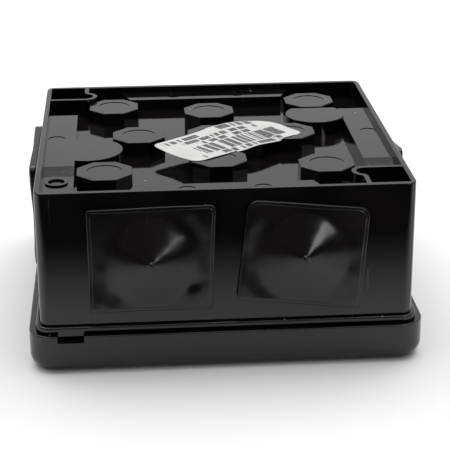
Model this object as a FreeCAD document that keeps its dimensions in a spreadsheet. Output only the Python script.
import FreeCAD, Part
import math
import os
import re
import Sketcher

# Surface-mount cable junction box, 85 x 85 x 40 mm, standing on its lid.
# Millimetres. +Z points from the lid's outer face to the face that goes against a wall.
# The origin is the centre of the lid's outer face. The front wall is at -Y, the right wall at +X.
# The walls, the lip, the lid and the screws repeat after half a turn about Z.

V = FreeCAD.Vector
Z_AXIS = V(0, 0, 1)

SIZES = [
    # the box
    ("body_side", 80.0, "outer width and depth of the box"),
    ("body_corner", 2.2, "outer radius of the box's upright corners"),
    ("wall", 1.2, "wall thickness of the box"),
    ("overall_height", 40.0, "lid face to mounting rim"),
    ("floor_depth", 4.05, "mounting rim to the sunk floor between the pillars"),
    ("edge_round", 0.25, "small rounding of moulded edges"),
    ("lip_side", 82.0, "outer width of the lip above the lid"),
    ("lip_corner", 3.2, "corner radius of the lip"),
    ("lip_low", 9.0, "underside of the lip"),
    ("lip_high", 10.1, "top of the lip"),
    ("tab_width", 5.4, "width of the lip's locating tab"),
    ("tab_centre", 33.5, "tab centre from the box's middle"),
    ("tab_low", 8.1, "lower end of the tab"),
    # the underside
    ("pillar_flats", 12.0, "octagonal pillar across flats"),
    ("pillar_sunk", 0.9, "pillar tops below the rim"),
    ("pillar_shift", 1.3, "middle pillar from the box's middle, along Y"),
    ("near_x", 23.2, "corner pillars on the screw diagonal from the middle one, along X"),
    ("near_y", 23.5, "the same pillars, along Y"),
    ("far_x", 25.4, "corner pillars on the mounting diagonal from the middle one, along X"),
    ("far_y", 25.1, "the same pillars, along Y"),
    ("pillar_side", 17.5, "side pillars from the middle one, along X"),
    ("pillar_end", 18.4, "end pillars from the middle one, along Y"),
    ("left_round_radius", 8.0, "left round pillar"),
    ("left_round_x", -29.3, "left round pillar's centre, along X"),
    ("left_round_y", -8.8, "left round pillar's centre, along Y"),
    ("right_round_radius", 7.05, "right round pillar"),
    ("right_round_x", 25.4, "right round pillar's centre, along X"),
    ("right_round_y", 14.2, "right round pillar's centre, along Y"),
    ("right_round_flat", 4.85, "flat back of the right round pillar from its centre"),
    ("well_radius", 4.8, "hollow inside an octagonal pillar"),
    ("mark_radius", 3.85, "ejector mark on an octagonal pillar"),
    ("mark_deep", 0.12, "depth of an ejector mark"),
    ("strip_wide", 6.8, "width of the raised strips along the walls"),
    ("strip_sunk", 1.5, "strip tops below the rim"),
    ("pad_sunk", 2.5, "mounting pads below the rim"),
    ("ramp_start", 22.5, "lower front end of a side strip, from the middle along Y"),
    ("ramp_end", 18.3, "front end of its full height, from the middle along Y"),
    ("strip_end", 20.0, "back end of a side strip, from the middle along Y"),
    ("end_strip_inner", 38.0, "inner edge length of the front and back strips"),
    ("end_strip_outer", 43.0, "wall edge length of the front and back strips"),
    ("strip_mark_radius", 2.0, "ejector mark on a strip"),
    ("strip_mark_x", 8.0, "ejector marks on the end strips, from the middle along X"),
    ("side_mark_x", 36.5, "ejector marks on the side strips, from the middle along X"),
    ("side_mark_y", 1.6, "ejector marks on the side strips, from the middle along Y"),
    # mounting holes
    ("mount_x", 35.7, "mounting hole from the middle, along X"),
    ("mount_y", 26.5, "mounting hole from the middle, along Y"),
    ("mount_radius", 1.8, "mounting hole"),
    ("mount_ring", 2.5, "raised ring around a mounting hole"),
    ("mount_ring_high", 0.35, "height of that ring"),
    # lid screw columns, drawn in the quarter where both directions are positive
    ("column_wall", 1.0, "thickness of the column's curved wall"),
    ("column_x", 28.6, "middle of the column's long wall"),
    ("column_y", 29.9, "middle of the column's short wall"),
    ("column_bend_y", 30.4, "centre of the first bend"),
    ("column_bend", 2.6, "radius of the first bend"),
    ("column_back_bend", 1.36, "radius of the return bend"),
    ("column_low", 5.4, "lid end of the column"),
    ("column_plate", 3.0, "thickness of the plate that takes the lid screw"),
    ("screw_centre", 33.3, "lid screw from the middle, both ways"),
    ("pilot_radius", 1.6, "screw hole in the column plate"),
    # cable entries
    ("entry_radius", 10.2, "cable entry hole"),
    ("entry_level", 24.6, "cable entry centre above the lid face"),
    ("entry_spread", 16.1, "front and back entries from the middle"),
    # lid
    ("lid_side", 85.0, "outer width and depth of the lid"),
    ("lid_corner", 5.6, "outer radius of the lid's upright corners"),
    ("lid_height", 8.6, "height of the lid"),
    ("lid_face", 1.8, "thickness of the lid's face"),
    ("skirt_wall", 1.35, "thickness of the lid's skirt"),
    ("lid_round", 3.2, "rounding from the lid's face to its skirt"),
    ("lid_inner_round", 0.9, "rounding inside the lid"),
    ("rib_gap", 0.25, "gap between the box wall and the lid's inner rib"),
    ("rib_wall", 1.0, "thickness of the lid's inner rib"),
    ("rib_high", 5.0, "top of the lid's inner rib"),
    ("notch_width", 5.6, "width of the pry notch in the skirt"),
    ("notch_deep", 1.5, "depth of the pry notch"),
    ("boss_radius", 5.0, "screw boss inside the lid"),
    ("boss_high", 4.4, "top of the screw boss"),
    ("bore_radius", 3.9, "recess for the screw head"),
    ("bore_deep", 2.4, "depth of that recess"),
    ("shank_hole", 2.3, "screw hole through the lid"),
    # lid screw
    ("head_radius", 3.6, "screw head"),
    ("head_low", 0.4, "outer face of the screw head"),
    ("head_high", 1.9, "thickness of the screw head"),
    ("shank_radius", 2.2, "screw shank inside the lid"),
    ("shank_top", 4.9, "end of the shank"),
    ("thread_radius", 1.5, "threaded end, outer radius"),
    ("thread_top", 10.6, "tip of the screw"),
    ("slot_wide", 1.1, "width of the driver slot"),
    ("slot_deep", 1.0, "depth of the driver slot"),
    # entry plug, drawn with its axis along Z and its inner end at zero
    ("flange_wide", 26.5, "plug flange width"),
    ("flange_tall", 24.0, "plug flange height"),
    ("flange_thick", 1.0, "plug flange thickness"),
    ("flange_corner", 2.0, "plug flange corner radius"),
    ("barrel_radius", 10.1, "plug barrel outside"),
    ("barrel_wall", 1.0, "plug barrel wall"),
    ("barrel_long", 3.2, "plug barrel length behind the flange"),
    ("membrane", 0.8, "membrane thickness"),
    ("cone_radius", 9.7, "foot of the membrane cone"),
    ("cone_rise", 3.0, "height of an outward cone"),
    ("dish_drop", 2.4, "depth of a cone that is pushed in"),
    ("nub_radius", 0.55, "moulding nub at the cone's tip"),
    ("nub_high", 0.5, "height of that nub"),
    ("side_stand_off", 1.0, "gap behind the flanges of the side wall plugs"),
    # how far each plug is turned in its hole, in degrees
    ("roll_front_left", 1.4, "turn of the front left plug"),
    ("roll_front_right", -5.5, "turn of the front right plug"),
    ("roll_right", -7.0, "turn of the right plug"),
    ("roll_back_right", 2.5, "turn of the back right plug"),
    ("roll_back_left", -1.8, "turn of the back left plug"),
    ("roll_left", 1.5, "turn of the left plug"),
    # label
    ("label_long", 32.6, "label length"),
    ("label_wide", 16.0, "label width"),
    ("label_corner", 2.0, "label corner radius"),
    ("label_thick", 0.2, "label thickness"),
    ("label_x", 3.0, "label centre along X"),
    ("label_y", -3.9, "label centre along Y"),
    ("label_turn", 36.5, "label direction from X, in degrees"),
]

ALIASES = {alias for alias, _, _ in SIZES}
HALF_TURNS = (0, 180)

doc = FreeCAD.newDocument("junction_box")
sheet = doc.addObject("Spreadsheet::Sheet", "Sheet")
for row, (alias, number, meaning) in enumerate(SIZES, start=1):
    sheet.set("A%d" % row, alias)
    sheet.set("B%d" % row, str(number))
    sheet.set("C%d" % row, meaning)
    sheet.setAlias("B%d" % row, alias)
doc.recompute()


def cells(formula):
    """Name the sheet in a formula that is written with bare aliases."""
    return re.sub("[a-z_]+", lambda word: "Sheet." + word[0] if word[0] in ALIASES else word[0], formula)


def value(formula):
    """The number that such a formula gives."""
    return float(sheet.evalExpression(cells(formula)))


def bind(thing, formulas):
    """Tie properties of an object to the sheet."""
    for name, formula in formulas.items():
        thing.setExpression(name, cells(formula))


# ---------------------------------------------------------------- sketches

def new_body(label):
    body = doc.addObject("PartDesign::Body", label)
    body.Label = label
    return body


def new_sketch(body, name, role="XY_Plane", at=("0", "0", "0"), turn=0):
    """A sketch on one of the body's planes, moved by formulas in that plane's own directions. The turn
    is about the box's upright axis, in degrees, and comes before the move."""
    sketch = body.newObject("Sketcher::SketchObject", name)
    plane = next(feature for feature in body.Origin.OriginFeatures if feature.Role == role)
    sketch.AttachmentSupport = [(plane, "")]
    sketch.MapMode = "FlatFace"
    upright = Z_AXIS if role == "XY_Plane" else V(0, 1, 0)
    sketch.AttachmentOffset = FreeCAD.Placement(V(0, 0, 0), FreeCAD.Rotation(upright, turn))
    bind(sketch, {".AttachmentOffset.Base." + axis: formula for axis, formula in zip("xyz", at)})
    return sketch


def rule(sketch, kind, *where):
    return sketch.addConstraint(Sketcher.Constraint(kind, *where))


def dimension(sketch, name, kind, where, formula):
    """Add a dimension at its real value, name it and tie it to the sheet."""
    sketch.renameConstraint(rule(sketch, kind, *where, value(formula)), name)
    sketch.setExpression("Constraints." + name, cells(formula))


def add_line(sketch, start, end):
    return sketch.addGeometry(Part.LineSegment(V(*start, 0), V(*end, 0)))


def add_arc(sketch, centre, radius, first, last):
    circle = Part.Circle(V(*centre, 0), Z_AXIS, radius)
    return sketch.addGeometry(Part.ArcOfCircle(circle, math.radians(first), math.radians(last)))


def add_loop(sketch, corners):
    """Lines through the corners and back to the first, joined end to end."""
    lines = [add_line(sketch, start, end) for start, end in zip(corners, corners[1:] + corners[:1])]
    for line, following in zip(lines, lines[1:] + lines[:1]):
        rule(sketch, "Coincident", line, 2, following, 1)
    return lines


def fix(sketch, name, geometry, point, x, y):
    """Place a point of the sketch by two formulas, either of which may be zero or negative."""
    for axis, formula, datum in (("X", x, -2), ("Y", y, -1)):
        if formula == "0":
            rule(sketch, "PointOnObject", geometry, point, datum)
        else:
            dimension(sketch, "%s_%s" % (name, axis), "Distance" + axis, (-1, 1, geometry, point), formula)


def circles(sketch, radius, centres=(("0", "0"),)):
    """Circles of one radius about the given places."""
    for i, (x, y) in enumerate(centres):
        ring = sketch.addGeometry(Part.Circle(V(value(x), value(y), 0), Z_AXIS, value(radius)))
        dimension(sketch, "radius_of_%s_%d" % (radius.split()[0], i), "Radius", (ring,), radius)
        fix(sketch, "%s_%d" % (radius.split()[0], i), ring, 3, x, y)
    return sketch


def polygon(sketch, points):
    """A closed polygon with each corner placed from the sketch's origin by two formulas."""
    lines = add_loop(sketch, [(value(x), value(y)) for x, y in points])
    for i, (line, (x, y)) in enumerate(zip(lines, points)):
        fix(sketch, "corner_%d" % i, line, 1, x, y)
    return sketch


def rectangle(sketch, wide, tall, radius=None):
    """A rectangle centred on the sketch's origin, with round corners if a radius is given."""
    round_off = value(radius) if radius else 0.0
    across = value(wide) / 2
    along = value(tall) / 2
    if not radius:
        lines = add_loop(sketch, [(-across, -along), (across, -along), (across, along), (-across, along)])
        rule(sketch, "Symmetric", lines[0], 1, lines[2], 1, -1, 1)
    else:
        inset = [(across - round_off, round_off - along), (across - round_off, along - round_off),
                 (round_off - across, along - round_off), (round_off - across, round_off - along)]
        arcs = [add_arc(sketch, centre, round_off, start, start + 90)
                for centre, start in zip(inset, (270, 0, 90, 180))]
        ends = [sketch.Geometry[arc] for arc in arcs]
        lines = [sketch.addGeometry(Part.LineSegment(ends[i - 1].EndPoint, ends[i].StartPoint))
                 for i in range(4)]
        for i in range(4):
            rule(sketch, "Tangent", arcs[i - 1], 2, lines[i], 1)
            rule(sketch, "Tangent", lines[i], 2, arcs[i], 1)
        for arc in arcs[1:]:
            rule(sketch, "Equal", arcs[0], arc)
        rule(sketch, "Symmetric", arcs[0], 3, arcs[2], 3, -1, 1)
        dimension(sketch, "radius", "Radius", (arcs[0],), radius)
    for i in (0, 2):
        rule(sketch, "Horizontal", lines[i])
        rule(sketch, "Vertical", lines[i + 1])
    dimension(sketch, "wide", "DistanceX", (lines[3], 1, lines[1], 1), wide)
    dimension(sketch, "tall", "DistanceY", (lines[0], 1, lines[2], 1), tall)
    return sketch


def cut_circle(sketch, radius, flat):
    """A circle about the sketch's origin, cut off by a level line at some distance above the centre."""
    cut = math.degrees(math.asin(value(flat) / value(radius)))
    arc = add_arc(sketch, (0, 0), value(radius), 180 - cut, 360 + cut)
    ends = sketch.Geometry[arc]
    line = sketch.addGeometry(Part.LineSegment(ends.EndPoint, ends.StartPoint))
    rule(sketch, "Coincident", arc, 3, -1, 1)
    rule(sketch, "Coincident", arc, 2, line, 1)
    rule(sketch, "Coincident", line, 2, arc, 1)
    rule(sketch, "Horizontal", line)
    dimension(sketch, "radius", "Radius", (arc,), radius)
    dimension(sketch, "flat", "DistanceY", (-1, 1, line, 1), flat)
    return sketch


def trapezoid(sketch, foot, top, deep):
    """A trapezoid that stands on the sketch's horizontal axis and is centred on its upright axis."""
    a = value(foot) / 2
    b = value(top) / 2
    rise = value(deep)
    base, _, roof, _ = lines = add_loop(sketch, [(-a, 0), (a, 0), (b, rise), (-b, rise)])
    rule(sketch, "Symmetric", base, 1, base, 2, -1, 1)
    rule(sketch, "Symmetric", roof, 1, roof, 2, -2)
    rule(sketch, "Horizontal", base)
    dimension(sketch, "foot", "DistanceX", (base, 1, base, 2), foot)
    dimension(sketch, "top", "DistanceX", (roof, 2, roof, 1), top)
    dimension(sketch, "deep", "DistanceY", (lines[1], 1, lines[1], 2), deep)
    return sketch


# ---------------------------------------------------------------- features

def finish(feature, cuts=False):
    """Work the feature out. One that cuts has to take something away."""
    base = feature.BaseFeature
    feature.Refine = False
    doc.recompute()
    if "Invalid" in feature.State or feature.Shape.isNull():
        raise RuntimeError("%s failed: %s" % (feature.Name, feature.getStatusString()))
    if cuts and feature.Shape.Volume > base.Shape.Volume - 1e-3:
        raise RuntimeError(feature.Name + " cuts nothing")


def pad(body, sketch, length):
    feature = body.newObject("PartDesign::Pad", sketch.Name + "_pad")
    feature.Profile = sketch
    bind(feature, {"Length": length})
    finish(feature)


def pocket(body, sketch, length, upward=False):
    """A pocket that goes down from its sketch, or up."""
    feature = body.newObject("PartDesign::Pocket", sketch.Name + "_pocket")
    feature.Profile = sketch
    feature.Reversed = upward
    bind(feature, {"Length": length})
    finish(feature, cuts=True)


def solid(body, kind, name, at, sizes, turn=0.0):
    """A primitive such as AdditiveCylinder, turned about Z and then placed by formulas."""
    feature = body.newObject("PartDesign::" + kind, name)
    feature.Placement = FreeCAD.Placement(V(0, 0, 0), FreeCAD.Rotation(Z_AXIS, turn))
    bind(feature, {".Placement.Base." + axis: formula for axis, formula in zip("xyz", at)})
    bind(feature, sizes)
    finish(feature, cuts=kind.startswith("Subtractive"))


def soften(body, name, radius, test):
    """Round the edges whose bounding box passes a test."""
    names = ["Edge%d" % i for i, edge in enumerate(body.Shape.Edges, start=1) if test(edge.BoundBox)]
    base = body.Tip
    feature = body.newObject("PartDesign::Fillet", name)
    feature.Base = (base, names)
    bind(feature, {"Radius": radius})
    finish(feature)


def flat_at(level, reach="0", within="lid_side"):
    """A test for level edges at one height, whose farthest point lies between two distances out."""
    height = value(level)
    nearest = value(reach)
    farthest = value(within)

    def test(box):
        out = max(box.XMax, box.YMax, -box.XMin, -box.YMin)
        return abs(box.ZMin - height) < 0.01 and abs(box.ZMax - height) < 0.01 and nearest < out < farthest
    return test


def turned(formula, turn):
    """A place along X or Y after no turn or half a turn."""
    return "-(%s)" % formula if turn else formula


# ---------------------------------------------------------------- the box

INNER_SIDE = "body_side - 2 * wall"
INNER_HALF = "(body_side / 2 - wall)"
INNER_CORNER = "body_corner - wall"
FLOOR_TOP = "(overall_height - floor_depth)"
CEILING = "(overall_height - floor_depth - wall)"
PILLAR_TOP = "(overall_height - pillar_sunk)"
STRIP_TOP = "(overall_height - strip_sunk)"
PAD_TOP = "(overall_height - pad_sunk)"
OCTAGON_RADIUS = "pillar_flats / 2 / cos(22.5 deg)"

STRIP_EDGE = "(body_side / 2 - wall - strip_wide)"

OCTAGONS = [(x, y + "pillar_shift")
            for x, y in (("far_x", "far_y + "), ("-far_x", "-far_y + "),
                         ("near_x", "-near_y + "), ("-near_x", "near_y + "),
                         ("pillar_side", ""), ("-pillar_side", ""),
                         ("0", "pillar_end + "), ("0", "-pillar_end + "), ("0", ""))]
# name, radius, flat side from the centre, centre, and the turn that brings the flat to its side
ROUNDS = [("right", "right_round_radius", "right_round_flat", ("right_round_x", "right_round_y"), 0),
          ("left", "left_round_radius", STRIP_EDGE + " + left_round_x", ("left_round_x", "left_round_y"), 90)]


def make_walls(body):
    """The four walls, the sunk floor, and the lip with its two locating tabs."""
    block = new_sketch(body, "block", at=("0", "0", "lid_face"))
    pad(body, rectangle(block, "body_side", "body_side", "body_corner"), "overall_height - lid_face")
    lip = new_sketch(body, "lip", at=("0", "0", "lip_low"))
    pad(body, rectangle(lip, "lip_side", "lip_side", "lip_corner"), "lip_high - lip_low")
    soften(body, "lip_round", "edge_round * 1.6", flat_at("lip_high", "body_side / 2 + 0.1"))
    cavity = new_sketch(body, "cavity", at=("0", "0", "lid_face"))
    rectangle(cavity, INNER_SIDE, INNER_SIDE, INNER_CORNER)
    pocket(body, cavity, CEILING + " - lid_face", upward=True)
    recess = new_sketch(body, "recess", at=("0", "0", "overall_height"))
    pocket(body, rectangle(recess, INNER_SIDE, INNER_SIDE, INNER_CORNER), "floor_depth")
    soften(body, "rim_edges", "edge_round", flat_at("overall_height"))
    for turn in HALF_TURNS:
        corner = (turned("-tab_centre - tab_width / 2", turn), turned("-lip_side / 2", turn), "tab_low")
        solid(body, "AdditiveBox", "tab_%d" % turn, corner,
              {"Length": "tab_width", "Width": "lip_side / 2 - body_side / 2 + wall / 2",
               "Height": "lip_low - tab_low + wall / 4"}, turn)


def make_strips(body):
    """Raised strips along the walls, which give the cable entries room inside. The side strips ramp
    down to a lower pad at the front. The left pad carries a mounting hole, the right one ends at the
    screw column."""
    rise = "floor_depth - strip_sunk"
    pad_rise = "floor_depth - pad_sunk"
    for name, x, front in (("left", "-%s - wall / 2" % INNER_HALF, "-" + INNER_HALF),
                           ("right", STRIP_EDGE, "-column_x")):
        side = new_sketch(body, "side_strip_" + name, "YZ_Plane", at=("0", FLOOR_TOP, x))
        polygon(side, [(front, "0"), ("strip_end", "0"), ("strip_end", rise),
                       ("-ramp_end", rise), ("-ramp_start", pad_rise), (front, pad_rise)])
        pad(body, side, "strip_wide + wall / 2")
    for turn in HALF_TURNS:
        end = new_sketch(body, "end_strip_%d" % turn, turn=turn,
                         at=("0", turned("-" + INNER_HALF, turn), FLOOR_TOP))
        pad(body, trapezoid(end, "end_strip_outer", "end_strip_inner", "strip_wide"), rise)


def make_strip_hollows(body):
    """The channels inside the strips, open towards the lid."""
    rise = "floor_depth - strip_sunk"
    for name, x in (("left", "-" + INNER_HALF), ("right", STRIP_EDGE + " + wall")):
        solid(body, "SubtractiveBox", "side_channel_" + name, (x, "wall - ramp_end", CEILING),
              {"Length": "strip_wide - wall", "Width": "ramp_end + strip_end - 2 * wall", "Height": rise})
    for turn in HALF_TURNS:
        end = new_sketch(body, "end_channel_%d" % turn, turn=turn,
                         at=("0", turned("-" + INNER_HALF, turn), CEILING))
        trapezoid(end, "end_strip_outer - 2 * wall", "end_strip_inner - 2 * wall", "strip_wide - wall")
        pocket(body, end, rise, upward=True)


def make_pillars(body):
    """Hollow stand-off pillars with softened tops and the faint round marks of the ejector pins."""
    tall = "floor_depth - pillar_sunk"
    for i, (x, y) in enumerate(OCTAGONS):
        solid(body, "AdditivePrism", "pillar_%d" % i, (x, y, FLOOR_TOP),
              {"Circumradius": OCTAGON_RADIUS, "Height": tall, "Polygon": "8"}, 22.5)
    soften(body, "pillar_edges", "edge_round", flat_at(PILLAR_TOP))
    for name, radius, flat, place, turn in ROUNDS:
        pillar = new_sketch(body, "round_pillar_" + name, at=(*place, FLOOR_TOP), turn=turn)
        pad(body, cut_circle(pillar, radius, flat), tall)
        well = new_sketch(body, "round_well_" + name, at=(*place, CEILING), turn=turn)
        pocket(body, cut_circle(well, radius + " - wall", flat + " - wall"), tall, upward=True)
    wells = new_sketch(body, "wells", at=("0", "0", CEILING))
    pocket(body, circles(wells, "well_radius", OCTAGONS), tall, upward=True)
    marks = new_sketch(body, "marks", at=("0", "0", PILLAR_TOP))
    pocket(body, circles(marks, "mark_radius", OCTAGONS), "mark_deep")


def make_strip_marks(body):
    """The faint ejector marks on the strips."""
    middle = "(%s - strip_wide / 2)" % INNER_HALF
    places = [("side_mark_x", "side_mark_y"), ("-side_mark_x", "side_mark_y")]
    places += [(x + "strip_mark_x", y + middle) for x in ("", "-") for y in ("", "-")]
    marks = new_sketch(body, "strip_marks", at=("0", "0", STRIP_TOP))
    pocket(body, circles(marks, "strip_mark_radius", places), "mark_deep")


def make_columns(body):
    """Two hollow columns for the lid screws, shut off from the wired space by a bent wall. Each is
    open towards the mounting side and ends in a plate with the screw's hole."""
    for turn, name in ((-90, "front_right"), (90, "back_left")):
        outer = new_sketch(body, "column_" + name, at=("0", "0", "column_low"), turn=turn)
        column_outline(outer, "column_wall / 2", "body_side / 2 - wall / 2")
        pad(body, outer, "overall_height - column_low")
        hollow = new_sketch(body, "column_hollow_" + name, at=("0", "0", "overall_height"), turn=turn)
        column_outline(hollow, "-column_wall / 2", INNER_HALF)
        pocket(body, hollow, "overall_height - column_low - column_plate")
        sign = "" if turn < 0 else "-"
        other = "-" if turn < 0 else ""
        solid(body, "SubtractiveCylinder", "pilot_" + name,
              (sign + "screw_centre", other + "screw_centre", "column_low"),
              {"Radius": "pilot_radius", "Height": "column_plate"})


def column_outline(sketch, grow, corner):
    """The outline of a screw column, drawn in the quarter where X and Y are positive. It follows the
    middle of the column's wall, moved away from the corner by grow, with a bend and a return bend."""
    wall_x = "column_x - (%s)" % grow
    wall_y = "column_y - (%s)" % grow
    bend = "column_bend + (%s)" % grow
    back_bend = "column_back_bend - (%s)" % grow
    centre = (value("column_x + column_bend"), value("column_bend_y"))
    rise = value(wall_y) - value(back_bend) - centre[1]
    reach = math.sqrt((value(bend) + value(back_bend)) ** 2 - rise ** 2)
    meeting = math.degrees(math.atan2(rise, reach))
    far = value(corner)
    upright = add_line(sketch, (value(wall_x), far), (value(wall_x), centre[1]))
    first = add_arc(sketch, centre, value(bend), 180, 360 + meeting)
    second = add_arc(sketch, (centre[0] + reach, centre[1] + rise), value(back_bend), 90, 180 + meeting)
    level = add_line(sketch, (centre[0] + reach, value(wall_y)), (far, value(wall_y)))
    outer = add_line(sketch, (far, value(wall_y)), (far, far))
    top = add_line(sketch, (far, far), (value(wall_x), far))
    rule(sketch, "Tangent", upright, 2, first, 1)
    rule(sketch, "Tangent", first, 2, second, 2)
    rule(sketch, "Tangent", second, 1, level, 1)
    for line, following in ((level, outer), (outer, top), (top, upright)):
        rule(sketch, "Coincident", line, 2, following, 1)
    for line in (upright, outer):
        rule(sketch, "Vertical", line)
    for line in (level, top):
        rule(sketch, "Horizontal", line)
    dimension(sketch, "wall_x", "DistanceX", (-1, 1, upright, 1), wall_x)
    dimension(sketch, "wall_y", "DistanceY", (-1, 1, level, 1), wall_y)
    dimension(sketch, "bend_y", "DistanceY", (-1, 1, first, 3), "column_bend_y")
    dimension(sketch, "bend", "Radius", (first,), bend)
    dimension(sketch, "back_bend", "Radius", (second,), back_bend)
    dimension(sketch, "corner_x", "DistanceX", (-1, 1, outer, 1), corner)
    dimension(sketch, "corner_y", "DistanceY", (-1, 1, top, 1), corner)


def make_openings(body):
    """Six cable entries, and the two mounting holes with a raised ring around each."""
    for turn in HALF_TURNS:
        pair = new_sketch(body, "end_entries_%d" % turn, "XZ_Plane", turn=turn,
                          at=("0", "entry_level", turned("body_side / 2", turn)))
        circles(pair, "entry_radius", (("entry_spread", "0"), ("-entry_spread", "0")))
        pocket(body, pair, "wall")
        side = new_sketch(body, "side_entry_%d" % turn, "YZ_Plane", turn=turn,
                          at=("0", "entry_level", turned("body_side / 2", turn)))
        pocket(body, circles(side, "entry_radius"), "wall")
        x = turned("mount_x", turn)
        y = turned("mount_y", turn)
        level = PAD_TOP if turn else FLOOR_TOP
        solid(body, "AdditiveCylinder", "mount_ring_%d" % turn, (x, y, level),
              {"Radius": "mount_ring", "Height": "mount_ring_high"})
        solid(body, "SubtractiveCylinder", "mount_hole_%d" % turn, (x, y, CEILING),
              {"Radius": "mount_radius", "Height": "overall_height"})


def make_base_shell():
    body = new_body("base_shell")
    make_walls(body)
    make_strips(body)
    make_pillars(body)
    make_strip_hollows(body)
    make_strip_marks(body)
    make_columns(body)
    make_openings(body)


# ---------------------------------------------------------------- the lid and its screws

SCREWS = (("lid_screw_front_right", "screw_centre", "-screw_centre"),
          ("lid_screw_back_left", "-screw_centre", "screw_centre"))


def make_lid():
    body = new_body("lid")
    block = new_sketch(body, "lid_block")
    pad(body, rectangle(block, "lid_side", "lid_side", "lid_corner"), "lid_height")
    soften(body, "face_round", "lid_round", flat_at("0"))
    tray = new_sketch(body, "tray", at=("0", "0", "lid_height"))
    rectangle(tray, "lid_side - 2 * skirt_wall", "lid_side - 2 * skirt_wall", "lid_corner - skirt_wall")
    pocket(body, tray, "lid_height - lid_face")
    soften(body, "tray_round", "lid_inner_round", flat_at("lid_face"))
    soften(body, "skirt_edge", "edge_round", flat_at("lid_height", "lid_side / 2 - 0.1"))
    rib_outer = "(body_side - 2 * wall - 2 * rib_gap)"
    rib = new_sketch(body, "rib", at=("0", "0", "lid_face"))
    pad(body, rectangle(rib, rib_outer, rib_outer, "rib_wall"), "rib_high - lid_face")
    inside = new_sketch(body, "rib_inside", at=("0", "0", "rib_high"))
    pocket(body, rectangle(inside, rib_outer + " - 2 * rib_wall", rib_outer + " - 2 * rib_wall"),
           "rib_high - lid_face")
    for name, x, y in SCREWS:
        solid(body, "AdditiveCylinder", "boss_" + name, (x, y, "lid_face / 2"),
              {"Radius": "boss_radius", "Height": "boss_high - lid_face / 2"})
        solid(body, "SubtractiveCylinder", "head_recess_" + name, (x, y, "0"),
              {"Radius": "bore_radius", "Height": "bore_deep"})
        solid(body, "SubtractiveCylinder", "shank_hole_" + name, (x, y, "bore_deep"),
              {"Radius": "shank_hole", "Height": "boss_high"})
    for turn in HALF_TURNS:
        corner = (turned("-tab_centre - notch_width / 2", turn), turned("-lid_side / 2 - wall", turn),
                  "lid_height - notch_deep")
        solid(body, "SubtractiveBox", "notch_%d" % turn, corner,
              {"Length": "notch_width", "Width": "skirt_wall + wall", "Height": "notch_deep + wall"}, turn)


def make_screws():
    for name, x, y in SCREWS:
        body = new_body(name)
        for part, radius, low, high in (("head", "head_radius", "head_low", "head_low + head_high"),
                                        ("shank", "shank_radius", "head_low + head_high", "shank_top"),
                                        ("thread", "thread_radius", "shank_top", "thread_top")):
            solid(body, "AdditiveCylinder", part + "_of_" + name, ("0", "0", low),
                  {"Radius": radius, "Height": "%s - (%s)" % (high, low)})
        solid(body, "SubtractiveBox", "slot_of_" + name, ("-head_radius", "-slot_wide / 2", "head_low"),
              {"Length": "2 * head_radius", "Width": "slot_wide", "Height": "slot_deep"})
        soften(body, "tip_of_" + name, "edge_round * 2", flat_at("thread_top"))
        body.Placement = FreeCAD.Placement(V(value(x), value(y), 0), FreeCAD.Rotation(Z_AXIS, 45))


# ---------------------------------------------------------------- cable-entry plugs

# name, direction that the wall faces, place along the wall, gap behind the flange, rise of the cone, turn
PLUGS = (("entry_plug_front_left", 270, "-entry_spread", "0", "cone_rise", "roll_front_left"),
         ("entry_plug_front_right", 270, "entry_spread", "0", "cone_rise", "roll_front_right"),
         ("entry_plug_right", 0, "0", "side_stand_off", "-dish_drop", "roll_right"),
         ("entry_plug_back_right", 90, "-entry_spread", "0", "cone_rise", "roll_back_right"),
         ("entry_plug_back_left", 90, "entry_spread", "0", "cone_rise", "roll_back_left"),
         ("entry_plug_left", 180, "0", "side_stand_off", "-dish_drop", "roll_left"))


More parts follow.
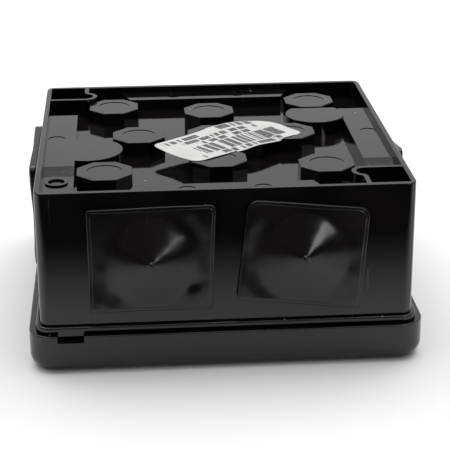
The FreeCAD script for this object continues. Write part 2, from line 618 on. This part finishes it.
def make_plug(name, facing, along, gap, rise, roll):
    """A soft plug: a square flange, a short barrel and a thin cone across it. It is drawn with its
    axis along Z from the barrel's inner end, then turned to face out of its wall."""
    body = new_body(name)
    front = "barrel_long + flange_thick"
    flange = new_sketch(body, "flange_" + name, at=("0", "0", "barrel_long"))
    rectangle(flange, "flange_wide", "flange_tall", "flange_corner")
    circles(flange, "barrel_radius - barrel_wall / 2")
    pad(body, flange, "flange_thick")
    soften(body, "flange_edges_" + name, "edge_round * 1.4", flat_at(front, "flange_tall / 2 - 0.1"))
    profile = new_sketch(body, "profile_" + name, "XZ_Plane")
    inside = "barrel_radius - barrel_wall"
    polygon(profile, [(inside, "0"), ("barrel_radius", "0"), ("barrel_radius", front), ("cone_radius", front),
                      ("0", front + " + (%s)" % rise), ("0", front + " + (%s) - membrane" % rise),
                      (inside, front + " - membrane")])
    turn = body.newObject("PartDesign::Revolution", "barrel_" + name)
    turn.Profile = profile
    turn.ReferenceAxis = (profile, ["V_Axis"])
    turn.Angle = 360
    finish(turn)
    solid(body, "AdditiveCylinder", "nub_" + name, ("0", "0", front + " + (%s) - membrane / 2" % rise),
          {"Radius": "nub_radius", "Height": "nub_high + membrane / 2"})
    # local Z outward, local Y up, then about the wall's own direction
    stand = FreeCAD.Rotation(V(0, 1, 0), V(0, 0, 1), V(1, 0, 0))
    out = FreeCAD.Rotation(Z_AXIS, facing)
    spin = FreeCAD.Rotation(Z_AXIS, value(roll))
    from_middle = value("body_side / 2 - barrel_long + %s" % gap)
    centre = out.multVec(V(from_middle, value(along), value("entry_level")))
    body.Placement = FreeCAD.Placement(centre, out * stand * spin)


def make_label():
    body = new_body("product_label")
    outline = new_sketch(body, "label_outline")
    pad(body, rectangle(outline, "label_long", "label_wide", "label_corner"), "label_thick")
    body.Placement = FreeCAD.Placement(V(value("label_x"), value("label_y"), value(PILLAR_TOP)),
                                       FreeCAD.Rotation(Z_AXIS, value("label_turn")))


make_base_shell()
make_lid()
make_screws()
for plug in PLUGS:
    make_plug(*plug)
make_label()
doc.recompute()

for item in doc.Objects:
    if "Invalid" in item.State or "Error" in item.State:
        raise RuntimeError("%s failed: %s" % (item.Label, item.State))

os.makedirs("parts", exist_ok=True)
for body in doc.findObjects("PartDesign::Body"):
    shape = body.Shape.removeSplitter()
    if shape.isNull() or not shape.isValid():
        raise RuntimeError(body.Label + " has no valid shape")
    shape.exportStep("parts/%s.step" % body.Label)
    print("%-24s solids %d  volume %9.1f mm3" % (body.Label, len(shape.Solids), shape.Volume))
